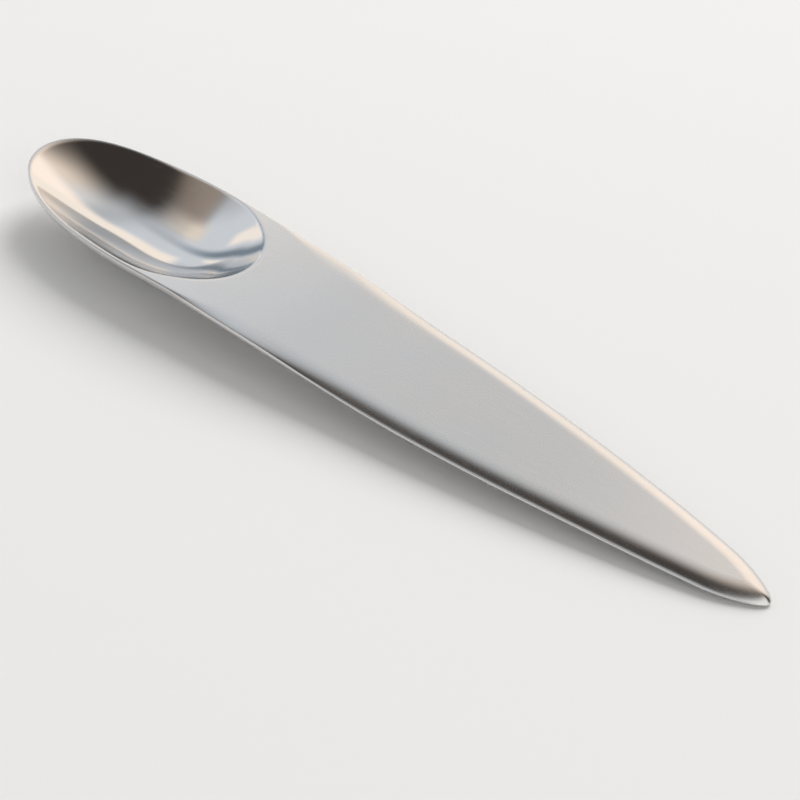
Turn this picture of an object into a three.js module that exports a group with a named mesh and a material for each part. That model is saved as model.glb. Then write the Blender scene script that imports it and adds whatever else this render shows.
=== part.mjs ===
import * as THREE from 'three'
import { mergeVertices } from 'three/addons/utils/BufferGeometryUtils.js'

// Teaspoon of one piece of stainless steel, lying bowl up on a table at z = 0.
// Lengths are in millimetres. X runs from the nose of the bowl to the tip of the handle.
// While the shape is worked out, x is measured from the nose; the finished part is
// centred on the middle of its length.

// Outline, seen from above
const length = 140
const width = 25.2
const noseLength = 29.6
const tipLength = 8.3

// Bowl
const bowlLength = 47.3
const bowlDepth = 6.25
const rimLand = 0.5
const creaseRound = 0.35
const spanBlend = 12

// Plate
const bowlPlate = 1.3
const handlePlate = 1.6
const underBlend = 3

// Rounding of the top edge, across and down, beside the bowl and on the handle
const rimRound = 0.3
const rimDrop = 0.25
const tipRound = 2.8
const tipDrop = 1.1

// Rounding of the lower edge, across and up, beside the bowl and on the handle
const underRound = 0.6
const underRise = 0.45
const tipUnderRound = 1.5
const tipUnderRise = 0.3

// Where the edges go from the one rounding to the other, from the nose: they widen from the
// end of the bowl on, and get deeper further back
const widenStart = 42
const widenEnd = 56
const deepenStart = 56
const deepenEnd = 82

// Profile of the rounded edges: 0.5 is a quarter of an ellipse, 1 a parabola
const edgeProfile = 0.7

// Flat on the underside of the bowl, as deep as this where it stands on the table
const restFlat = 0.1

// Colour and finish of the satin steel
const steelColour = 0xc3c0bb
const steelRoughness = 0.3

// Half widths from the widest place to the tip, evenly spaced, as shares of half the width.
// The first and the last lie one step outside and only shape the ends of the curve.
const flankShares = [0.96, 1, 0.96, 0.93, 0.89, 0.84, 0.74, 0.6, 0.43, 0.21, -0.05]

// Heights of the top face above the tip, from the nose to the tip, as shares of the nose's,
// with one step outside at each end again
const riseShares = [1.22, 1, 0.81, 0.76, 0.73, 0.64, 0.52, 0.42, 0.33, 0.25, 0.14, 0, -0.15]

// Fullness of the rounded nose: 0 is an ellipse, more is squarer
const noseFullness = 0.35

// Places across a section: the edge rounding, and the underside from its middle outward
const edgeShares = [0.35, 0.65, 0.87, 1]
const underShares = [0.08, 0.25, 0.45, 0.65, 0.82, 0.93]

// How finely the surface is divided
const noseRows = 16
const creaseRows = 12
const handleRows = 24
const bowlColumns = 8
const landColumns = 4
const outlineSteps = 8

const bowlSpan = bowlLength - noseLength
const handleSpan = length - bowlLength
const halfTurn = Math.PI

// Smooth curve through evenly spaced values, from the second to the last but one
function curveThrough (values, share) {
  const pieces = values.length - 3
  const index = Math.min(Math.floor(share * pieces), pieces - 1)
  const [before, from, to, after] = values.slice(index, index + 4)
  const t = share * pieces - index
  const leave = (to - before) / 2
  const arrive = (after - from) / 2
  const bend = 3 * (to - from) - 2 * leave - arrive
  const twist = 2 * (from - to) + leave + arrive
  return from + t * (leave + t * (bend + t * twist))
}

// Square of a share, held back before 1 so that the curve it shapes is fuller
function fullSquare (share, fullness) {
  const square = share * share
  return square * (1 - fullness + fullness * square)
}

// Half the width of the outline at a distance from the nose
function halfWidth (x) {
  if (x < noseLength) {
    return width / 2 * Math.sqrt(1 - fullSquare(1 - x / noseLength, noseFullness))
  }
  const flank = width / 2 * curveThrough(flankShares, (x - noseLength) / (length - noseLength))
  const intoTip = Math.max(0, 1 - (length - x) / tipLength)
  return flank * Math.sqrt(1 - intoTip * intoTip)
}

// Larger of a value and zero, with the corner between the two rounded over the given height
function softPositive (value, round) {
  if (value >= round) return value
  if (value <= -round) return 0
  return (value + round) * (value + round) / (4 * round)
}

// How far out a place lies in a bowl-shaped plan: 0 in the middle, 1 on the edge.
// The long nose side passes smoothly into the short side of the crease.
function reach (x, y, noseSpan, creaseSpan, halfSpan) {
  const passed = THREE.MathUtils.smoothstep(x, noseLength - spanBlend, noseLength + spanBlend)
  const along = (x - noseLength) / (noseSpan + (creaseSpan - noseSpan) * passed)
  return fullSquare(along, noseFullness * (1 - passed)) + (y / halfSpan) * (y / halfSpan)
}

// Depth of the hollow under the top face
function hollowDepth (x, y) {
  const out = reach(x, y, noseLength - rimLand, bowlSpan, width / 2 - rimLand)
  return softPositive(bowlDepth * (1 - out), creaseRound)
}

// Depth of the bulge under the plate, which blends into the handle behind the crease
function bulgeDepth (x, y) {
  const out = reach(x, y, noseLength, bowlSpan + bowlPlate, width / 2)
  const blend = THREE.MathUtils.clamp((x - noseLength) / bowlSpan, 0, 1)
  return softPositive(bowlDepth * (1 - out), rimRound + underBlend * blend * blend)
}

// Thickness of the plate: thinner at the bowl, full from the crease on
function plate (x) {
  return bowlPlate + (handlePlate - bowlPlate) * THREE.MathUtils.smoothstep(x, noseLength, bowlLength)
}

// Share of the rise at a distance from the nose, zero where the tip's underside touches the table
function riseShare (x) {
  const tipRest = length - tipUnderRound
  return curveThrough(riseShares, x / length) - curveThrough(riseShares, tipRest / length)
}

// Rise of the top face from the tip to the nose: the spoon stands on the tip and on the
// flat of the bowl
function riseOf () {
  let rise = 0
  for (let x = 0; x < bowlLength; x += rimLand) {
    const below = bulgeDepth(x, 0) + plate(x) - handlePlate - restFlat
    rise = Math.max(rise, below / riseShare(x))
  }
  return rise
}

const rise = riseOf()

// Height of the middle line of the top face
function topHeight (x) {
  return handlePlate + rise * riseShare(x)
}

// Places of the section rows: closer at the nose, at the end of the bowl and at the tip
function rowPlaces (fineness) {
  const places = []
  for (let i = 0; i < noseRows * fineness; i++) {
    places.push(noseLength * (1 - Math.cos(halfTurn / 2 * i / (noseRows * fineness))))
  }
  for (let i = 0; i < creaseRows * fineness; i++) {
    places.push(noseLength + bowlSpan * Math.sin(halfTurn / 2 * i / (creaseRows * fineness)))
  }
  for (let i = 0; i <= handleRows * fineness; i++) {
    places.push(length - handleSpan * (1 + Math.cos(halfTurn * i / (handleRows * fineness))) / 2)
  }
  return places
}

// One side of the outline as short straight pieces, to measure distances to it
const outline = rowPlaces(outlineSteps).map((x) => new THREE.Vector3(x, halfWidth(x), 0))

function insetFromOutline (x, y) {
  const place = new THREE.Vector3(x, Math.abs(y), 0)
  const piece = new THREE.Line3()
  const nearest = new THREE.Vector3()
  let inset = Infinity
  for (let i = 1; i < outline.length; i++) {
    piece.set(outline[i - 1], outline[i])
    piece.closestPointToPoint(place, true, nearest)
    inset = Math.min(inset, nearest.distanceTo(place))
  }
  return inset
}

// Drop of a rounded edge at a distance from it
function edgeDrop (inset, across, down) {
  const out = Math.max(0, 1 - inset / across)
  return down * (1 - Math.pow(1 - out * out, edgeProfile))
}

// Width of an edge rounding at a distance from the nose
function widthAt (x, atBowl, atTip) {
  return atBowl + (atTip - atBowl) * THREE.MathUtils.smoothstep(x, widenStart, widenEnd)
}

// Height of an edge rounding at a distance from the nose
function heightAt (x, atBowl, atTip) {
  return atBowl + (atTip - atBowl) * THREE.MathUtils.smoothstep(x, deepenStart, deepenEnd)
}

function topPoint (x, y, inset) {
  const drop = edgeDrop(inset, widthAt(x, rimRound, tipRound), heightAt(x, rimDrop, tipDrop))
  return new THREE.Vector3(x - length / 2, y, topHeight(x) - hollowDepth(x, y) - drop)
}

function underPoint (x, y, inset) {
  const low = Math.max(0, topHeight(x) - plate(x) - bulgeDepth(x, y))
  const up = heightAt(x, underRise, tipUnderRise)
  const lift = edgeDrop(inset, widthAt(x, underRound, tipUnderRound), up)
  return new THREE.Vector3(x - length / 2, y, low + lift)
}

// Half width of the hollow at a distance from the nose, zero beyond its ends
function hollowHalfWidth (x) {
  const left = 1 - reach(x, 0, noseLength - rimLand, bowlSpan, width / 2 - rimLand)
  return (width / 2 - rimLand) * Math.sqrt(Math.max(0, left))
}

// Places across the top face, from the middle to the edge
function topColumns (x) {
  const edge = halfWidth(x)
  const hollow = Math.min(hollowHalfWidth(x), edge)
  const flat = Math.max(hollow, edge - widthAt(x, rimRound, tipRound))
  const columns = [0]
  for (let i = 1; i <= bowlColumns; i++) {
    columns.push(hollow * Math.sin(halfTurn / 2 * i / bowlColumns))
  }
  for (let i = 1; i <= landColumns; i++) {
    columns.push(hollow + (flat - hollow) * i / landColumns)
  }
  for (const share of edgeShares) {
    columns.push(flat + (edge - flat) * share)
  }
  return columns
}

// Places across the underside, from the middle to the edge
function underColumns (x) {
  const edge = halfWidth(x)
  return [0, ...underShares.map((share) => edge * share), edge]
}

// Points across a section from one edge to the other
function across (x, columns, point) {
  const edge = halfWidth(x)
  const half = columns.map((y) => point(x, y, y === edge ? 0 : insetFromOutline(x, y)))
  const mirrored = half.slice(1).reverse().map((p) => new THREE.Vector3(p.x, -p.y, p.z))
  return [...mirrored, ...half]
}

// Closed loop of points round the section at a distance from the nose
function section (x) {
  const top = across(x, topColumns(x), topPoint)
  const under = across(x, underColumns(x), underPoint)
  return [...top, ...under.reverse()]
}

// Adds a triangle unless two of its corners fall together
function addFace (corners, a, b, c) {
  if (a.equals(b) || b.equals(c) || c.equals(a)) return
  for (const p of [a, b, c]) corners.push(p.x, p.y, p.z)
}

// Closed skin over the sections; at the nose and the tip they shrink to an upright edge
function skinOver (sections) {
  const corners = []
  for (let row = 1; row < sections.length; row++) {
    const back = sections[row - 1]
    const front = sections[row]
    for (let i = 0; i < front.length; i++) {
      const next = (i + 1) % front.length
      addFace(corners, back[i], front[i], front[next])
      addFace(corners, back[i], front[next], back[next])
    }
  }
  const geometry = new THREE.BufferGeometry()
  geometry.setAttribute('position', new THREE.Float32BufferAttribute(corners, 3))
  const merged = mergeVertices(geometry)
  merged.computeVertexNormals()
  return merged
}

function satinSteel () {
  return new THREE.MeshStandardMaterial({
    color: steelColour,
    metalness: 1,
    roughness: steelRoughness
  })
}

function spoon () {
  const mesh = new THREE.Mesh(skinOver(rowPlaces(1).map(section)), satinSteel())
  mesh.name = 'spoon'
  return mesh
}

const teaspoon = new THREE.Group()
teaspoon.add(spoon())

export default teaspoon
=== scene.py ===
import math

import bmesh
import bpy
import numpy as np
from mathutils import Euler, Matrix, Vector
from mathutils.kdtree import KDTree


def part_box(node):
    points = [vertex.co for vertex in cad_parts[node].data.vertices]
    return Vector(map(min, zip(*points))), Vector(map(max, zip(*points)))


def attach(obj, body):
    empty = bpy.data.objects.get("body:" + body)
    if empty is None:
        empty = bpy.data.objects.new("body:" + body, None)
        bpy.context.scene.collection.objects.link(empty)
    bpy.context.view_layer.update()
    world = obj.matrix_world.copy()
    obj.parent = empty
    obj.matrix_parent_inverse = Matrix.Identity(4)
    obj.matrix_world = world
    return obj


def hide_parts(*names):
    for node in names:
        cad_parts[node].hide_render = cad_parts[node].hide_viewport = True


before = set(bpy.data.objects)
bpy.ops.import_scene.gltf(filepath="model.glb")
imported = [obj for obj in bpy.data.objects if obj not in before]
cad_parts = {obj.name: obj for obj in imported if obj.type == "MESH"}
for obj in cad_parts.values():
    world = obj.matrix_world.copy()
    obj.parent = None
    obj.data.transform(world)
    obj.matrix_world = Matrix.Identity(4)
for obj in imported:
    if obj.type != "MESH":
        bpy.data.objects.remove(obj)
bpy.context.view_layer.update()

MM = 0.001

# The spoon's overall sizes come from the solid it replaces
SPOON_LOW, SPOON_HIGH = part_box("spoon")
LENGTH = SPOON_HIGH.x - SPOON_LOW.x
WIDTH = SPOON_HIGH.y - SPOON_LOW.y

# Outline
NOSE_LENGTH = 29.6 * MM
TIP_LENGTH = 8.3 * MM
NOSE_FULLNESS = 0.35

# Half widths from the widest place to the tip, and heights of the top face from the nose to
# the tip, with one step outside at each end
FLANK_SHARES = (0.96, 1, 0.96, 0.93, 0.89, 0.84, 0.74, 0.6, 0.43, 0.21, -0.05)
RISE_SHARES = (1.22, 1, 0.81, 0.76, 0.73, 0.64, 0.52, 0.42, 0.33, 0.25, 0.14, 0, -0.15)

# Bowl
BOWL_LENGTH = 47.3 * MM
BOWL_DEPTH = 6.25 * MM
RIM_LAND = 0.5 * MM
CREASE_ROUND = 0.35 * MM
SPAN_BLEND = 12 * MM

# Plate
BOWL_PLATE = 1.3 * MM
HANDLE_PLATE = 1.6 * MM
UNDER_BLEND = 3 * MM
REST_FLAT = 0.1 * MM

# Rounding of the edges, across and down or up, and where it widens and gets deeper
RIM_ROUND = 0.3 * MM
RIM_DROP = 0.25 * MM
TIP_ROUND = 2.8 * MM
TIP_DROP = 1.1 * MM
UNDER_ROUND = 0.6 * MM
UNDER_RISE = 0.45 * MM
TIP_UNDER_ROUND = 1.5 * MM
TIP_UNDER_RISE = 0.3 * MM
WIDEN_START = 42 * MM
WIDEN_END = 56 * MM
DEEPEN_START = 56 * MM
DEEPEN_END = 82 * MM
EDGE_PROFILE = 0.7

# How finely the surface is divided, and how near to each other points count as one
NOSE_ROWS = 70
CREASE_ROWS = 60
HANDLE_ROWS = 120
BOWL_COLUMNS = 44
LAND_COLUMNS = 12
EDGE_COLUMNS = 8
UNDER_COLUMNS = 30
OUTLINE_STEPS = 12
WELD_DISTANCE = 0.0005 * MM

# Name of the values on the surface that are 1 in the bowl and 0 elsewhere
IN_BOWL = "in_bowl"

# Camera: where it stands over the table, how it is turned, and its lens
CAMERA_PLACE = Vector((128.74, -148.34, 157.92)) * MM
CAMERA_DOWN = math.radians(39.89)
CAMERA_TURN = math.radians(43.19)
SENSOR = 36.0
IMAGE_SIZE = 800
FOCAL_PIXELS = 1700
AXIS_PIXEL = 306
CLIP_START = 1 * MM

# Light that the steel mirrors from its surroundings
WINDOW = (1.4, 1.22, 1.07, 1)
PANE_WARM = (1.05, 0.9, 0.76, 1)
PANE_COOL = (0.88, 0.88, 0.88, 1)
ROOM_DARK = (0.05, 0.042, 0.037, 1)
WALL = (0.6, 0.63, 0.66, 1)
SKY = (0.8, 0.85, 0.91, 1)
SKY_LOW = (0.5, 0.51, 0.52, 1)
POST = (0.22, 0.28, 0.34, 1)
LAMP = (1.2, 1.1, 1.0, 1)
BROWN = (0.4, 0.33, 0.27, 1)
GLARE = (1.0, 0.88, 0.75, 1)
STUDIO = (1.1, 1.1, 1.08, 1)
RIDGE = (1.25, 1.13, 1.0, 1)
BACKDROP = (0.95, 0.95, 0.95, 1)

# Zones of that light by direction. A direction has three parts from -1 to 1: along the spoon
# to its tip, aside to its far side, and up. Two limits are a soft edge, from none of the light
# to all of it. Four are a band: from none to all, and from all to none again
PANE_COOL_ALONG = (0.02, -0.22)
PANE_ASIDE = (-0.12, 0.72)
WINDOW_ASIDE = (0.64, 0.84)
ROOM_END_ALONG = (0.02, 0.42)
WALL_ALONG = (-0.18, -0.34)
WALL_ASIDE = (-0.22, 0.42)
WALL_WINDOW_ASIDE = (0.66, 0.86)
SKY_ALONG = (-0.44, -0.62)
SKY_LOW_ASIDE = (-0.25, -0.65)
RIDGE_ALONG = (-0.68, -0.62, -0.3, -0.2)
RIDGE_ASIDE = (1.03, 1.15)
NEAR_SIDE_ASIDE = (-0.62, -0.8)
BACKDROP_UP = (0.1, 0.03)

# How much the edge of the sky leans aside, and how much the edge of the ridge leans along
SKY_SLANT = -0.12
RIDGE_SLANT = -0.88

# Patches in the sky and over everything: the light, its zone along and its zone aside
SKY_PATCHES = (
    (POST, (-0.3, -0.95), (0.11, 0.24, 0.27, 0.38)),
    (WALL, (-0.62, -0.72), (0.55, 0.7)),
    (LAMP, (-0.93, -0.88, -0.85, -0.78), (0.35, 0.39, 0.42, 0.47)),
    (LAMP, (-0.87, -0.92), (-0.13, -0.05, 0.04, 0.12)),
)
PATCHES = (
    (BROWN, (-0.64, -0.56, -0.55, -0.5), (0.0, -0.3)),
    (GLARE, (-0.7, -0.59, -0.57, -0.5), (-0.36, -0.12, -0.04, 0.14)),
    (STUDIO, (0.3, 0.6), (0.45, 0.2)),
)

# Soft light from the window's side that only the floor shows: its size, place and power
FILL_SIZE = 1.4
FILL_PLACE = Vector((-0.3, 1.7, 1.4))
FILL_POWER = 40

# Satin steel: smooth in the bowl, satin on the handle, with slight clouds, fine grain along
# the spoon, and hairlines at a small angle to it
STEEL_COLOUR = (0.71, 0.71, 0.715, 1)
STEEL_WARM = (0.705, 0.685, 0.665, 1)
BOWL_ROUGHNESS = 0.1
HANDLE_ROUGHNESS = 0.26
ROUGHNESS_SPREAD = 0.02
MOTTLE_SIZE = 12 * MM
MOTTLE_DETAIL = 3
GRAIN_WIDTH = 0.3 * MM
GRAIN_STRETCH = 60
GRAIN_DETAIL = 4
GRAIN_HEIGHT = 0.0002 * MM
HAIRLINE_WIDTH = 0.3 * MM
HAIRLINE_STRETCH = 50
HAIRLINE_DETAIL = 1
HAIRLINE_TURN = math.radians(8)
HAIRLINE_ROUGHNESS = 0.06

# Noise runs from 0 to 1: most of it lies in this middle part, and hairlines are its peaks
NOISE_MIDDLE = (0.25, 0.75)
NOISE_PEAKS = (0.66, 0.74)

# Floor
FLOOR_SIZE = 4.0
FLOOR_COLOUR = (0.85, 0.85, 0.845, 1)
FLOOR_ROUGHNESS = 0.9

# Numbers of the colour sockets of Blender's Mix node, whose names aren't theirs alone
MIX_UNDER = 6
MIX_OVER = 7
MIX_RESULT = 2

BOWL_SPAN = BOWL_LENGTH - NOSE_LENGTH
HANDLE_SPAN = LENGTH - BOWL_LENGTH
TIP_REST = np.array(LENGTH - TIP_UNDER_ROUND)


def smooth_share(x, start, end):
    """Goes smoothly from 0 to 1 while x goes from start to end."""
    t = np.clip((x - start) / (end - start), 0, 1)
    return t * t * (3 - 2 * t)


def curve_through(values, share):
    """Smooth curve through evenly spaced values, from the second to the last but one."""
    values = np.asarray(values, float)
    pieces = len(values) - 3
    place = np.clip(share, 0, 1) * pieces
    index = np.minimum(place.astype(int), pieces - 1)
    before, start, stop, after = (values[index + step] for step in range(4))
    t = place - index
    leave = (stop - before) / 2
    arrive = (after - start) / 2
    bend = 3 * (stop - start) - 2 * leave - arrive
    twist = 2 * (start - stop) + leave + arrive
    return start + t * (leave + t * (bend + t * twist))


def full_square(share, fullness):
    """Square of a share, held back before 1 so that the curve it shapes is fuller."""
    square = share ** 2
    return square * (1 - fullness + fullness * square)


def half_width(x):
    """Half the width of the outline at a distance from the nose."""
    nose = np.sqrt(1 - full_square(np.clip(1 - x / NOSE_LENGTH, 0, 1), NOSE_FULLNESS))
    flank = curve_through(FLANK_SHARES, (x - NOSE_LENGTH) / (LENGTH - NOSE_LENGTH))
    into_tip = np.clip(1 - (LENGTH - x) / TIP_LENGTH, 0, 1)
    return WIDTH / 2 * np.where(x < NOSE_LENGTH, nose, flank * np.sqrt(1 - into_tip ** 2))


def soft_positive(value, rounding):
    """The larger of a value and zero, with the corner between the two rounded over."""
    blended = (value + rounding) ** 2 / (4 * rounding)
    return np.where(value >= rounding, value, np.where(value <= -rounding, 0, blended))


def reach(x, y, nose_span, crease_span, half_span):
    """How far out a place lies in a bowl-shaped plan: 0 in the middle, 1 on the edge."""
    passed = smooth_share(x, NOSE_LENGTH - SPAN_BLEND, NOSE_LENGTH + SPAN_BLEND)
    along = (x - NOSE_LENGTH) / (nose_span + (crease_span - nose_span) * passed)
    return full_square(along, NOSE_FULLNESS * (1 - passed)) + (y / half_span) ** 2


def hollow_depth(x, y):
    """Depth of the hollow under the top face."""
    out = reach(x, y, NOSE_LENGTH - RIM_LAND, BOWL_SPAN, WIDTH / 2 - RIM_LAND)
    return soft_positive(BOWL_DEPTH * (1 - out), CREASE_ROUND)


def bulge_depth(x, y):
    """Depth of the bulge under the plate, which blends into the handle behind the crease."""
    out = reach(x, y, NOSE_LENGTH, BOWL_SPAN + BOWL_PLATE, WIDTH / 2)
    blend = np.clip((x - NOSE_LENGTH) / BOWL_SPAN, 0, 1)
    return soft_positive(BOWL_DEPTH * (1 - out), RIM_ROUND + UNDER_BLEND * blend ** 2)


def plate(x):
    """Thickness of the plate at a distance from the nose."""
    return BOWL_PLATE + (HANDLE_PLATE - BOWL_PLATE) * smooth_share(x, NOSE_LENGTH, BOWL_LENGTH)


def rise_share(x):
    """Share of the rise, zero where the tip's underside touches the table."""
    return curve_through(RISE_SHARES, x / LENGTH) - curve_through(RISE_SHARES, TIP_REST / LENGTH)


def rise_from_table():
    """Rise of the top face from the tip to the nose, with the bowl's flat on the table."""
    x = np.arange(0, BOWL_LENGTH, RIM_LAND)
    below = bulge_depth(x, 0) + plate(x) - HANDLE_PLATE - REST_FLAT
    return np.max(below / rise_share(x))


rise = rise_from_table()


def top_height(x):
    """Height of the middle line of the top face."""
    return HANDLE_PLATE + rise * rise_share(x)


def row_places(fineness=1):
    """Places of the section rows: closer at the nose, at the end of the bowl and at the tip."""
    quarter = math.pi / 2
    nose = np.arange(NOSE_ROWS * fineness) / (NOSE_ROWS * fineness)
    crease = np.arange(CREASE_ROWS * fineness) / (CREASE_ROWS * fineness)
    handle = np.arange(HANDLE_ROWS * fineness + 1) / (HANDLE_ROWS * fineness)
    return np.concatenate([
        NOSE_LENGTH * (1 - np.cos(quarter * nose)),
        NOSE_LENGTH + BOWL_SPAN * np.sin(quarter * crease),
        LENGTH - HANDLE_SPAN * (1 + np.cos(math.pi * handle)) / 2,
    ])


def outline_tree():
    """Closely spaced points of one side of the outline, to measure distances to it."""
    x = row_places(OUTLINE_STEPS)
    tree = KDTree(len(x))
    for index, point in enumerate(zip(x, half_width(x))):
        tree.insert((point[0], point[1], 0), index)
    tree.balance()
    return tree


outline = outline_tree()


def inset(x, y):
    """Distances of places from the outline."""
    flat_x, flat_y = np.broadcast_arrays(x, y)
    found = [outline.find((a, b, 0))[2] for a, b in zip(flat_x.ravel(), flat_y.ravel())]
    return np.array(found).reshape(flat_x.shape)


def edge_drop(distance, across, down):
    """Drop of a rounded edge at a distance from the outline."""
    out = np.clip(1 - distance / across, 0, 1)
    return down * (1 - (1 - out ** 2) ** EDGE_PROFILE)


def width_at(x, at_bowl, at_tip):
    """Width of an edge rounding at a distance from the nose."""
    return at_bowl + (at_tip - at_bowl) * smooth_share(x, WIDEN_START, WIDEN_END)


def height_at(x, at_bowl, at_tip):
    """Height of an edge rounding at a distance from the nose."""
    return at_bowl + (at_tip - at_bowl) * smooth_share(x, DEEPEN_START, DEEPEN_END)


def hollow_half_width(x):
    """Half width of the hollow at a distance from the nose, zero beyond its ends."""
    left = 1 - reach(x, 0, NOSE_LENGTH - RIM_LAND, BOWL_SPAN, WIDTH / 2 - RIM_LAND)
    return (WIDTH / 2 - RIM_LAND) * np.sqrt(np.clip(left, 0, 1))


def eased_shares(count):
    """Shares from 0 to 1 that lie closer to each other towards 1."""
    return np.sin(math.pi / 2 * np.arange(count + 1) / count)


def top_columns(x):
    """Places across the top face, from the middle to the edge, one row for each x."""
    edge = half_width(x)[:, None]
    hollow = np.minimum(hollow_half_width(x)[:, None], edge)
    flat = np.maximum(hollow, edge - width_at(x, RIM_ROUND, TIP_ROUND)[:, None])
    bowl = hollow * eased_shares(BOWL_COLUMNS)
    land = hollow + (flat - hollow) * np.arange(1, LAND_COLUMNS + 1) / LAND_COLUMNS
    rounded = flat + (edge - flat) * eased_shares(EDGE_COLUMNS)[1:]
    return np.hstack([bowl, land, rounded])


def under_columns(x):
    """Places across the underside, from the middle to the edge."""
    return half_width(x)[:, None] * eased_shares(UNDER_COLUMNS)


def with_edge(distance):
    """Sets the outermost place of each row on the outline itself."""
    distance[:, -1] = 0
    return distance


def top_surface(x):
    """Points of one half of the top face, one row for each x."""
    y = top_columns(x)
    x = x[:, None] + 0 * y
    away = with_edge(inset(x, y))
    drop = edge_drop(away, width_at(x, RIM_ROUND, TIP_ROUND), height_at(x, RIM_DROP, TIP_DROP))
    return np.stack([x, y, top_height(x) - hollow_depth(x, y) - drop], axis=-1)


def under_surface(x):
    """Points of one half of the underside, one row for each x."""
    y = under_columns(x)
    x = x[:, None] + 0 * y
    low = np.maximum(0, top_height(x) - plate(x) - bulge_depth(x, y))
    away = with_edge(inset(x, y))
    up = height_at(x, UNDER_RISE, TIP_UNDER_RISE)
    lift = edge_drop(away, width_at(x, UNDER_ROUND, TIP_UNDER_ROUND), up)
    return np.stack([x, y, low + lift], axis=-1)


def both_sides(half):
    """Mirrors a half surface, from one edge across the middle to the other edge."""
    mirrored = half[:, :0:-1] * np.array([1, -1, 1])
    return np.concatenate([mirrored, half], axis=1)


def spoon_mesh():
    """Closed skin over loops that run round the spoon, one loop for each row."""
    x = row_places()
    top = both_sides(top_surface(x))
    under = both_sides(under_surface(x))[:, ::-1]
    loops = np.concatenate([top, under], axis=1)
    rows, columns = loops.shape[:2]
    in_bowl = smooth_share(hollow_depth(loops[..., 0], loops[..., 1]), 0, CREASE_ROUND)
    in_bowl[:, top.shape[1]:] = 0
    points = loops.reshape(-1, 3)
    points[:, 0] += SPOON_LOW.x
    index = np.arange(rows * columns).reshape(rows, columns)
    beside = np.roll(index, -1, axis=1)
    quads = np.stack([index[:-1], index[1:], beside[1:], beside[:-1]], axis=-1).reshape(-1, 4)
    mesh = bpy.data.meshes.new("spoon_surface")
    mesh.from_pydata(points.tolist(), [], quads.tolist())
    mesh.attributes.new(IN_BOWL, "FLOAT", "POINT").data.foreach_set("value", in_bowl.ravel())
    return mesh


def weld(mesh):
    """Joins the points that fall together at the nose, the tip and the end of the bowl."""
    work = bmesh.new()
    work.from_mesh(mesh)
    bmesh.ops.remove_doubles(work, verts=work.verts, dist=WELD_DISTANCE)
    bmesh.ops.recalc_face_normals(work, faces=work.faces)
    work.to_mesh(mesh)
    work.free()
    for polygon in mesh.polygons:
        polygon.use_smooth = True


class Graph:
    """Node tree of a material or a world. Its values are numbers, colours or nodes' outputs."""

    def __init__(self, owner):
        owner.use_nodes = True
        self.nodes = owner.node_tree.nodes
        self.links = owner.node_tree.links

    def put(self, value, socket):
        """Sets an input to a plain value, or links it to a node's output."""
        if isinstance(value, bpy.types.NodeSocket):
            self.links.new(value, socket)
        else:
            socket.default_value = value

    def add(self, kind, inputs=None, **settings):
        """Adds a node with its settings, and puts values in its inputs."""
        node = self.nodes.new(kind)
        for name, value in settings.items():
            setattr(node, name, value)
        for key, value in (inputs or {}).items():
            self.put(value, node.inputs[key])
        return node

    def noise(self, place, size, detail):
        inputs = {"Vector": place, "Scale": 1 / size, "Detail": detail}
        return self.add("ShaderNodeTexNoise", inputs).outputs["Fac"]

    def stretched(self, place, stretch, turn):
        """Place drawn out along the spoon, or along a line turned a little from it."""
        inputs = {"Vector": place, "Rotation": (0, 0, turn), "Scale": (stretch, 1, 1)}
        return self.add("ShaderNodeMapping", inputs, vector_type="TEXTURE").outputs["Vector"]

    def ranged(self, value, source, target):
        """Goes evenly from one end of the target to the other as the value does in the source."""
        low, high = source
        start, end = target
        inputs = {"Value": value, "From Min": low, "From Max": high, "To Min": start, "To Max": end}
        return self.add("ShaderNodeMapRange", inputs).outputs["Result"]

    def soft_edge(self, value, start, end):
        """Goes smoothly from 0 to 1 while the value goes from start to end."""
        rising = start < end
        inputs = {
            "Value": value,
            "From Min": min(start, end),
            "From Max": max(start, end),
            "To Min": 0 if rising else 1,
            "To Max": 1 if rising else 0,
        }
        node = self.add("ShaderNodeMapRange", inputs, interpolation_type="SMOOTHSTEP")
        return node.outputs["Result"]

    def zone(self, value, limits):
        """1 inside a zone and 0 outside it, for two limits or four."""
        if len(limits) == 2:
            return self.soft_edge(value, *limits)
        start, full, held, end = limits
        return self.product(self.soft_edge(value, start, full), self.soft_edge(value, end, held))

    def total(self, first, second):
        node = self.add("ShaderNodeMath", {0: first, 1: second}, operation="ADD")
        return node.outputs["Value"]

    def product(self, first, second):
        node = self.add("ShaderNodeMath", {0: first, 1: second}, operation="MULTIPLY")
        return node.outputs["Value"]

    def mix(self, share, under, over):
        """Colour that goes from one to the other as the share goes from 0 to 1."""
        inputs = {"Factor": share, MIX_UNDER: under, MIX_OVER: over}
        return self.add("ShaderNodeMix", inputs, data_type="RGBA").outputs[MIX_RESULT]


def new_material(name):
    material = bpy.data.materials.new(name)
    graph = Graph(material)
    return material, graph, graph.nodes["Principled BSDF"]


def satin_roughness(graph, mottle, grain, hairlines):
    """Roughness of the bowl or the handle, uneven with the mottle, the grain and the hairlines."""
    in_bowl = graph.add("ShaderNodeAttribute", attribute_name=IN_BOWL).outputs["Fac"]
    roughness = graph.ranged(in_bowl, (0, 1), (HANDLE_ROUGHNESS, BOWL_ROUGHNESS))
    for pattern in (mottle, grain):
        uneven = graph.ranged(pattern, NOISE_MIDDLE, (-ROUGHNESS_SPREAD, ROUGHNESS_SPREAD))
        roughness = graph.total(roughness, uneven)
    return graph.total(roughness, graph.product(hairlines, HAIRLINE_ROUGHNESS))


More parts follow.
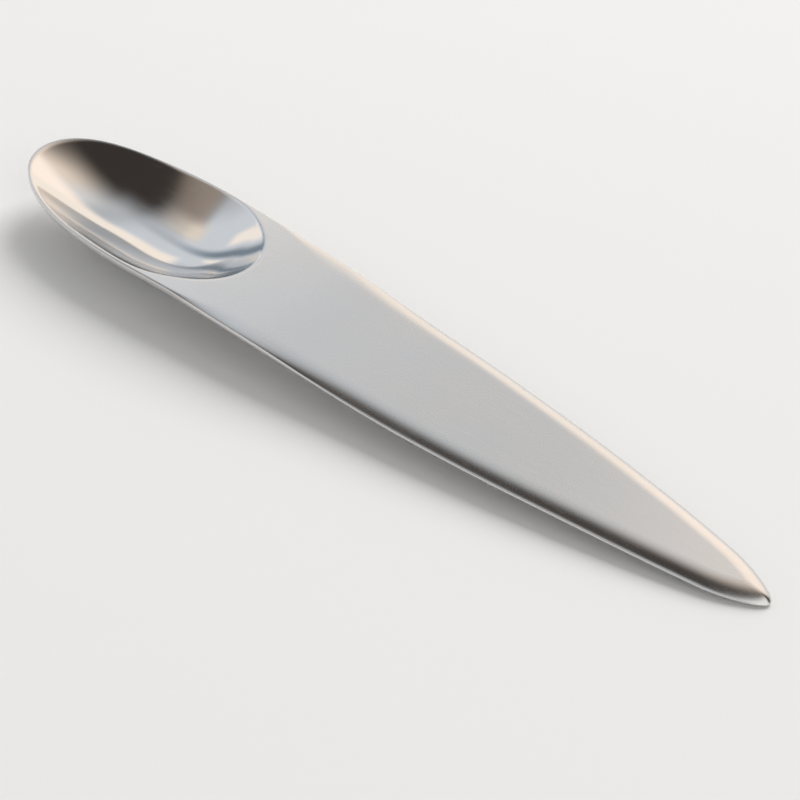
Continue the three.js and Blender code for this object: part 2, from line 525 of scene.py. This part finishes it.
def satin_steel():
    material, graph, shader = new_material("satin_steel")
    place = graph.add("ShaderNodeTexCoord").outputs["Object"]
    mottle = graph.noise(place, MOTTLE_SIZE, MOTTLE_DETAIL)
    grain = graph.noise(graph.stretched(place, GRAIN_STRETCH, 0), GRAIN_WIDTH, GRAIN_DETAIL)
    hair_place = graph.stretched(place, HAIRLINE_STRETCH, HAIRLINE_TURN)
    hair_noise = graph.noise(hair_place, HAIRLINE_WIDTH, HAIRLINE_DETAIL)
    roughness = satin_roughness(graph, mottle, grain, graph.zone(hair_noise, NOISE_PEAKS))
    bump = graph.add("ShaderNodeBump", {"Distance": GRAIN_HEIGHT, "Height": grain})

    graph.put(1, shader.inputs["Metallic"])
    graph.put(roughness, shader.inputs["Roughness"])
    graph.put(graph.mix(mottle, STEEL_COLOUR, STEEL_WARM), shader.inputs["Base Color"])
    graph.put(bump.outputs["Normal"], shader.inputs["Normal"])
    return material


def make_spoon():
    mesh = spoon_mesh()
    weld(mesh)
    piece = bpy.data.objects.new("satin_spoon", mesh)
    bpy.context.scene.collection.objects.link(piece)
    piece.data.materials.append(satin_steel())
    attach(piece, "root")
    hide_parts("spoon")


def make_floor():
    bpy.ops.mesh.primitive_plane_add(size=FLOOR_SIZE)
    floor = bpy.context.object
    floor.name = "floor"
    material, graph, shader = new_material("pale_floor")
    graph.put(FLOOR_COLOUR, shader.inputs["Base Color"])
    graph.put(FLOOR_ROUGHNESS, shader.inputs["Roughness"])
    floor.data.materials.append(material)


def make_fill():
    """Soft light from the window's side, which the steel doesn't mirror."""
    data = bpy.data.lights.new("fill", "AREA")
    data.size = FILL_SIZE
    data.energy = FILL_POWER
    fill = bpy.data.objects.new("fill", data)
    fill.location = FILL_PLACE
    fill.rotation_euler = FILL_PLACE.to_track_quat("Z", "Y").to_euler()
    fill.visible_glossy = False
    bpy.context.scene.collection.objects.link(fill)


def make_camera():
    data = bpy.data.cameras.new("camera")
    data.sensor_width = SENSOR
    data.lens = SENSOR * FOCAL_PIXELS / IMAGE_SIZE
    data.shift_x = (IMAGE_SIZE / 2 - AXIS_PIXEL) / IMAGE_SIZE
    data.clip_start = CLIP_START
    camera = bpy.data.objects.new("camera", data)
    camera.location = CAMERA_PLACE
    camera.rotation_euler = Euler((math.pi / 2 - CAMERA_DOWN, 0, CAMERA_TURN))
    bpy.context.scene.collection.objects.link(camera)
    bpy.context.scene.camera = camera


def room_light(graph, along, aside):
    """Room over the spoon: dark on the near side, then a pane, and a bright window far aside."""
    pane = graph.mix(graph.zone(along, PANE_COOL_ALONG), PANE_WARM, PANE_COOL)
    room = graph.mix(graph.zone(aside, PANE_ASIDE), ROOM_DARK, pane)
    room = graph.mix(graph.zone(aside, WINDOW_ASIDE), room, WINDOW)
    return graph.mix(graph.zone(along, ROOM_END_ALONG), room, ROOM_DARK)


def wall_light(graph, aside):
    """Room over the nose: dark on the near side, then a grey wall, and the window far aside."""
    wall = graph.mix(graph.zone(aside, WALL_ASIDE), ROOM_DARK, WALL)
    return graph.mix(graph.zone(aside, WALL_WINDOW_ASIDE), wall, WINDOW)


def with_patches(graph, along, aside, light, patches):
    """Lays patches over a light, each where its zone along and its zone aside cross."""
    for colour, zone_along, zone_aside in patches:
        share = graph.product(graph.zone(along, zone_along), graph.zone(aside, zone_aside))
        light = graph.mix(share, light, colour)
    return light


def sky_light(graph, along, aside):
    """Cool sky past the nose, dimmer on the near side, with its own patches."""
    sky = graph.mix(graph.zone(aside, SKY_LOW_ASIDE), SKY, SKY_LOW)
    return with_patches(graph, along, aside, sky, SKY_PATCHES)


def sky_share(graph, along, aside):
    """1 where the sky takes over from the room, past an edge that leans aside."""
    leaning = graph.total(along, graph.product(aside, SKY_SLANT))
    return graph.zone(leaning, SKY_ALONG)


def ridge_share(graph, along, aside):
    """1 in a bright strip low on the far side, under an edge that leans along."""
    leaning = graph.total(aside, graph.product(along, RIDGE_SLANT))
    return graph.product(graph.zone(leaning, RIDGE_ASIDE), graph.zone(along, RIDGE_ALONG))


def make_world():
    """Studio by direction: a room with a window on the far side, sky past the nose, soft grey
    light on the near side, and a pale backdrop behind the floor."""
    world = bpy.data.worlds.new("studio")
    graph = Graph(world)
    direction = graph.add("ShaderNodeTexCoord").outputs["Generated"]
    along, aside, up = graph.add("ShaderNodeSeparateXYZ", {"Vector": direction}).outputs

    light = room_light(graph, along, aside)
    light = graph.mix(graph.zone(along, WALL_ALONG), light, wall_light(graph, aside))
    light = graph.mix(sky_share(graph, along, aside), light, sky_light(graph, along, aside))
    light = with_patches(graph, along, aside, light, PATCHES)
    light = graph.mix(ridge_share(graph, along, aside), light, RIDGE)
    light = graph.mix(graph.zone(aside, NEAR_SIDE_ASIDE), light, SKY_LOW)
    light = graph.mix(graph.zone(up, BACKDROP_UP), light, BACKDROP)
    graph.put(light, graph.nodes["Background"].inputs["Color"])
    bpy.context.scene.world = world


make_spoon()
make_floor()
make_fill()
make_camera()
make_world()
bpy.context.scene.view_settings.view_transform = "Standard"
